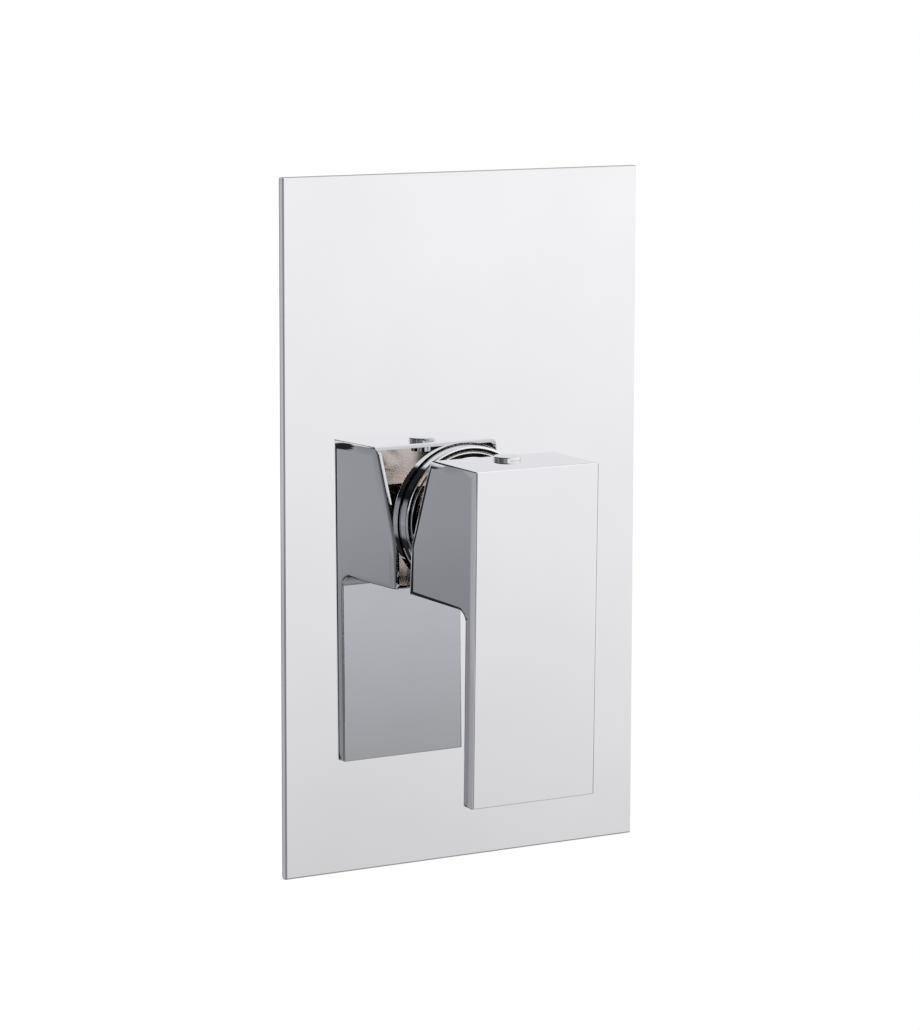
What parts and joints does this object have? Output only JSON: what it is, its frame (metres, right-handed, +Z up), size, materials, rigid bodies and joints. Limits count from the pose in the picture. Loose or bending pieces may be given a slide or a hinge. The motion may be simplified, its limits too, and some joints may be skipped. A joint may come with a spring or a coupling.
{
  "type": "concealed shower mixer",
  "caption": "Rectangular polished wall plate with a square lever handle on a round sleeve, and behind it the valve body, ceramic cartridge and pipe connections hidden in the wall.",
  "frame": {"origin": "where the cartridge's axis meets the finished wall, which is the back plane of the face plate's foam gasket", "axes": "+Z up, the front with the handle faces -Y, +X to the right seen from the front"},
  "size_m": [0.118, 0.0934, 0.201],
  "materials": {
    "polished_chrome": "mirror-polished chrome plating",
    "foam": "closed-cell foam",
    "cast_zinc": "turned zinc",
    "black_rubber": "smooth rubber",
    "brass": "machined brass",
    "cast_brass": "sand-cast brass",
    "fibre": "pressed fibre",
    "cartridge_plastic": "moulded plastic",
    "red_plastic": "moulded plastic",
    "ceramic": "lapped ceramic",
    "grey_plastic": "moulded plastic",
    "steel": "bright steel",
    "green_plastic": "moulded plastic",
    "dark_plastic": "moulded plastic"
  },
  "bodies": {
    "mixer_body": {"face_plate": "polished_chrome", "plate_gasket": "foam", "plate_collar": "cast_zinc", "grip_ring": "black_rubber", "trim_sleeve": "polished_chrome", "sleeve_cap": "polished_chrome", "sleeve_seal": "black_rubber", "retaining_nut": "brass", "valve_body": "cast_brass", "blanking_plug": "brass", "plug_seal": "fibre", "cartridge_housing": "cartridge_plastic", "limit_ring": "red_plastic", "cartridge_base": "cartridge_plastic", "port_seals": "black_rubber", "fixed_disc": "ceramic"},
    "rotor_unit": {"rotor": "grey_plastic", "pivot_pin": "steel"},
    "disc_slider": {"disc_coupler": "green_plastic", "moving_disc": "ceramic"},
    "lever": {"stem": "brass", "handle": "polished_chrome", "handle_insert": "dark_plastic", "grub_screw": "steel", "handle_cap": "polished_chrome"}
  },
  "joints": [
    {"name": "temperature_turn", "type": "hinge", "parent": "mixer_body", "child": "rotor_unit", "pos_m": [0, 0, 0], "axis": [0, -1, 0], "range_deg": [-50, 50]},
    {"name": "flow_lift", "type": "hinge", "parent": "rotor_unit", "child": "lever", "pos_m": [0, -0.008, 0], "axis": [-1, 0, 0], "range_deg": [0, 25]},
    {"name": "disc_slide", "type": "slide", "parent": "rotor_unit", "child": "disc_slider", "axis": [0, 0, -1], "range_m": [0, 0.0061]}
  ],
  "couplings": [
    {"joint": "disc_slide", "follows": "flow_lift", "m_per_rad": 0.0138}
  ]
}
